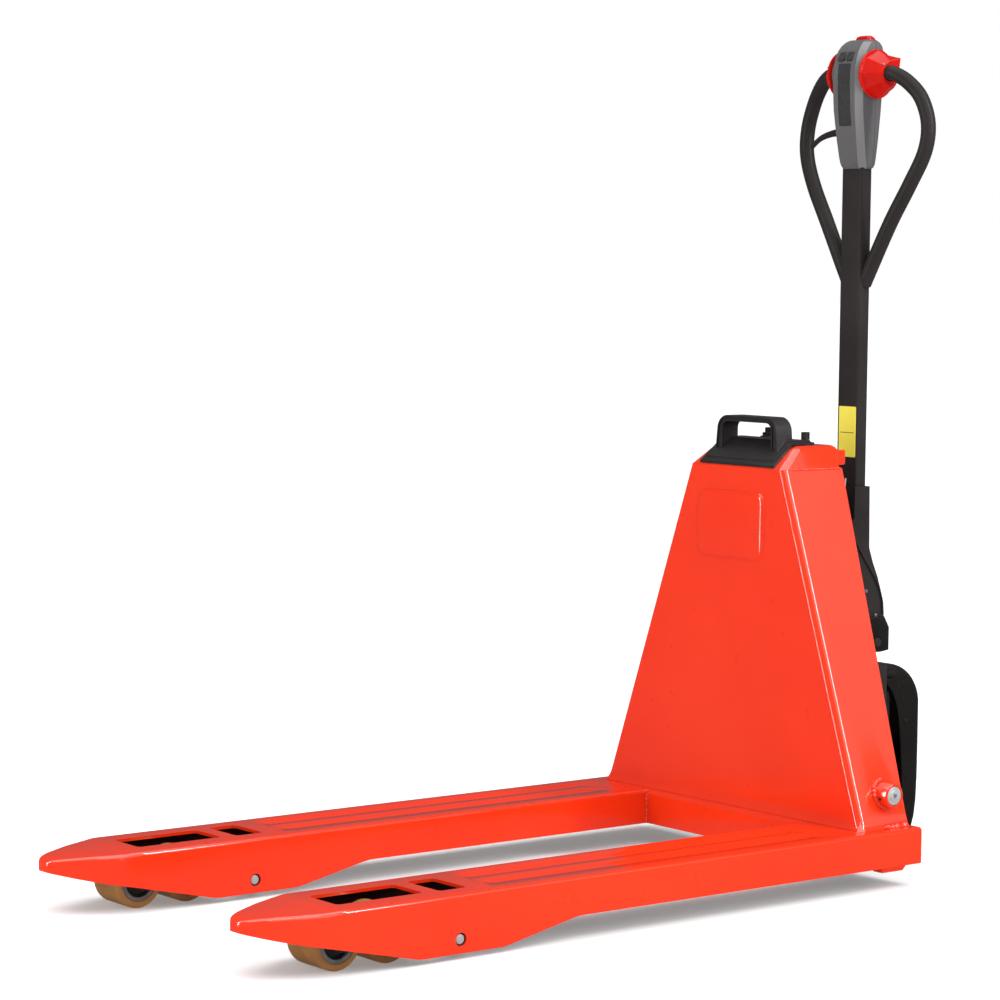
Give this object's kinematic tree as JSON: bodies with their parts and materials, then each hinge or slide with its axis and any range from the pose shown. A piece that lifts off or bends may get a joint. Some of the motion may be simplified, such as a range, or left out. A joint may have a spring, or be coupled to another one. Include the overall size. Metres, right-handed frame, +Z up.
{
  "type": "electric pallet truck",
  "caption": "Walk-behind electric pallet truck: two low forks with load rollers, a tapering housing with a lift-out battery, and a steering tiller over a driven wheel.",
  "frame": {"origin": "on the floor, at the centre of the truck's box in plan", "axes": "+Z up; -Y the way the forks point, away from the tiller; +X the operator's left-hand side as they stand at the tiller and face the forks"},
  "size_m": [0.685, 1.5494, 1.399],
  "materials": {
    "red_paint": "gloss",
    "black_paint": "semi-gloss",
    "black_plastic": "satin",
    "grey_plastic": "satin, finely textured",
    "dark_plastic": "semi-gloss",
    "red_plastic": "semi-gloss",
    "steel": "machined and zinc plated",
    "polyurethane": "smooth amber polyurethane",
    "rubber": "matt",
    "cable": "satin"
  },
  "bodies": {
    "chassis": {"fork_left": "red_paint", "fork_right": "red_paint", "cross_beam": "red_paint", "housing_front_plate": "red_paint", "housing_side_plate_left": "red_paint", "housing_side_plate_right": "red_paint", "shaft_boss_left": "red_paint", "shaft_boss_right": "red_paint", "housing_cap": "red_paint", "thrust_bracket": "red_paint", "lift_ram": "steel", "charging_plug": "black_plastic"},
    "battery": {"battery_case": "dark_plastic", "battery_lid": "black_plastic"},
    "key": {"key_knob": "black_plastic"},
    "rocker": {"rocker_shaft": "steel", "shaft_screw_left": "steel", "shaft_screw_right": "steel"},
    "carriage": {"carriage_frame": "black_paint", "hydraulic_tank": "black_paint", "pump_motor": "black_paint", "lift_cylinder": "steel"},
    "steer_unit": {"drive_bracket": "black_paint", "drive_motor": "black_paint", "drive_axle": "steel", "drive_guard": "black_plastic", "steer_turret": "black_paint"},
    "drive_wheel": {"drive_tyre": "rubber", "drive_hub": "steel"},
    "tiller": {"tiller_base": "black_paint", "tiller_pin": "steel", "mast_tube": "black_paint", "tiller_cable": "cable", "loop_handle": "black_paint", "head_front_shell": "grey_plastic", "head_rear_shell": "grey_plastic", "head_display": "dark_plastic"},
    "throttle_knob_left": {"throttle_left": "red_plastic"},
    "throttle_knob_right": {"throttle_right": "red_plastic"},
    "belly_switch": {"belly_button": "red_plastic"},
    "raise_switch": {"raise_button": "dark_plastic"},
    "lower_switch": {"lower_button": "dark_plastic"},
    "finger_lever": {"lowering_lever": "black_paint"},
    "arm_left": {"wheel_arm_left": "black_paint", "arm_pin_left": "steel"},
    "rod_left": {"push_rod_left": "steel"},
    "bogie_frame_left": {"bogie_left": "black_paint", "axle_front_left": "steel", "axle_rear_left": "steel"},
    "roller_front_left": {"load_roller_front_left": "polyurethane"},
    "roller_rear_left": {"load_roller_rear_left": "polyurethane"},
    "arm_right": {"wheel_arm_right": "black_paint", "arm_pin_right": "steel"},
    "rod_right": {"push_rod_right": "steel"},
    "bogie_frame_right": {"bogie_right": "black_paint", "axle_front_right": "steel", "axle_rear_right": "steel"},
    "roller_front_right": {"load_roller_front_right": "polyurethane"},
    "roller_rear_right": {"load_roller_rear_right": "polyurethane"}
  },
  "joints": [
    {"name": "lift", "type": "slide", "parent": "chassis", "child": "carriage", "axis": [0, 0, -1], "range_m": [0, 0.11]},
    {"name": "rocker_swing", "type": "hinge", "parent": "chassis", "child": "rocker", "pos_m": [0, 0.46025, 0.15], "axis": [-1, 0, 0], "range_deg": [0, 47.25]},
    {"name": "battery_lift_out", "type": "slide", "parent": "chassis", "child": "battery", "axis": [0, 0, 1], "range_m": [0, 0.3]},
    {"name": "key_turn", "type": "hinge", "parent": "chassis", "child": "key", "pos_m": [0.04, 0.51875, 0.7055], "axis": [0, 0, -1], "range_deg": [0, 90]},
    {"name": "arm_swing_left", "type": "hinge", "parent": "chassis", "child": "arm_left", "pos_m": [-0.2665, -0.43475, 0.0297], "axis": [1, 0, 0], "range_deg": [0, 47.95]},
    {"name": "rod_pivot_left", "type": "hinge", "parent": "arm_left", "child": "rod_left", "pos_m": [-0.2665, -0.41527, 0.07357], "axis": [-1, 0, 0], "range_deg": [0, 47.95]},
    {"name": "bogie_pivot_left", "type": "hinge", "parent": "arm_left", "child": "bogie_frame_left", "pos_m": [-0.2665, -0.57825, 0.0415], "axis": [-1, 0, 0], "range_deg": [0, 47.95]},
    {"name": "roller_spin_front_left", "type": "hinge", "parent": "bogie_frame_left", "child": "roller_front_left", "pos_m": [-0.2665, -0.62325, 0.0415], "axis": [1, 0, 0], "continuous": true},
    {"name": "roller_spin_rear_left", "type": "hinge", "parent": "bogie_frame_left", "child": "roller_rear_left", "pos_m": [-0.2665, -0.53325, 0.0415], "axis": [1, 0, 0], "continuous": true},
    {"name": "arm_swing_right", "type": "hinge", "parent": "chassis", "child": "arm_right", "pos_m": [0.2665, -0.43475, 0.0297], "axis": [1, 0, 0], "range_deg": [0, 47.95]},
    {"name": "rod_pivot_right", "type": "hinge", "parent": "arm_right", "child": "rod_right", "pos_m": [0.2665, -0.41527, 0.07357], "axis": [-1, 0, 0], "range_deg": [0, 47.95]},
    {"name": "bogie_pivot_right", "type": "hinge", "parent": "arm_right", "child": "bogie_frame_right", "pos_m": [0.2665, -0.57825, 0.0415], "axis": [-1, 0, 0], "range_deg": [0, 47.95]},
    {"name": "roller_spin_front_right", "type": "hinge", "parent": "bogie_frame_right", "child": "roller_front_right", "pos_m": [0.2665, -0.62325, 0.0415], "axis": [1, 0, 0], "continuous": true},
    {"name": "roller_spin_rear_right", "type": "hinge", "parent": "bogie_frame_right", "child": "roller_rear_right", "pos_m": [0.2665, -0.53325, 0.0415], "axis": [1, 0, 0], "continuous": true},
    {"name": "steering", "type": "hinge", "parent": "carriage", "child": "steer_unit", "pos_m": [0, 0.65675, 0.33], "axis": [0, 0, 1], "range_deg": [-90, 90]},
    {"name": "drive_wheel_spin", "type": "hinge", "parent": "steer_unit", "child": "drive_wheel", "pos_m": [0, 0.65675, 0.105], "axis": [1, 0, 0], "continuous": true},
    {"name": "tiller_tilt", "type": "hinge", "parent": "steer_unit", "child": "tiller", "pos_m": [0, 0.70175, 0.355], "axis": [-1, 0, 0], "range_deg": [0, 75], "stiffness_Nm_per_rad": 60, "springref_deg": -34.38},
    {"name": "throttle_right_turn", "type": "hinge", "parent": "tiller", "child": "throttle_knob_right", "pos_m": [0.053, 0.67175, 1.332], "axis": [1, 0, 0], "range_deg": [-30, 30], "stiffness_Nm_per_rad": 1},
    {"name": "throttle_left_turn", "type": "hinge", "parent": "tiller", "child": "throttle_knob_left", "pos_m": [-0.053, 0.67175, 1.332], "axis": [1, 0, 0], "range_deg": [-30, 30], "stiffness_Nm_per_rad": 1},
    {"name": "belly_button_press", "type": "slide", "parent": "tiller", "child": "belly_switch", "axis": [0, 0, -1], "range_m": [0, 0.006], "stiffness_N_per_m": 500, "springref_m": -0.003},
    {"name": "raise_button_press", "type": "slide", "parent": "tiller", "child": "raise_switch", "axis": [0, 1, 0], "range_m": [0, 0.003], "stiffness_N_per_m": 500, "springref_m": -0.003},
    {"name": "lower_button_press", "type": "slide", "parent": "tiller", "child": "lower_switch", "axis": [0, 1, 0], "range_m": [0, 0.003], "stiffness_N_per_m": 500, "springref_m": -0.003},
    {"name": "lowering_lever_squeeze", "type": "hinge", "parent": "tiller", "child": "finger_lever", "pos_m": [-0.028, 0.66975, 1.2325], "axis": [0, -1, 0], "range_deg": [0, 12], "stiffness_Nm_per_rad": 2, "springref_deg": -8.59}
  ],
  "couplings": [
    {"joint": "rocker_swing", "follows": "lift", "rad_per_m": 7.4821},
    {"joint": "arm_swing_left", "follows": "lift", "rad_per_m": 7.5999},
    {"joint": "rod_pivot_left", "follows": "lift", "rad_per_m": 7.5999},
    {"joint": "bogie_pivot_left", "follows": "lift", "rad_per_m": 7.5999},
    {"joint": "arm_swing_right", "follows": "lift", "rad_per_m": 7.5999},
    {"joint": "rod_pivot_right", "follows": "lift", "rad_per_m": 7.5999},
    {"joint": "bogie_pivot_right", "follows": "lift", "rad_per_m": 7.5999},
    {"joint": "throttle_left_turn", "follows": "throttle_right_turn", "ratio": 1}
  ]
}
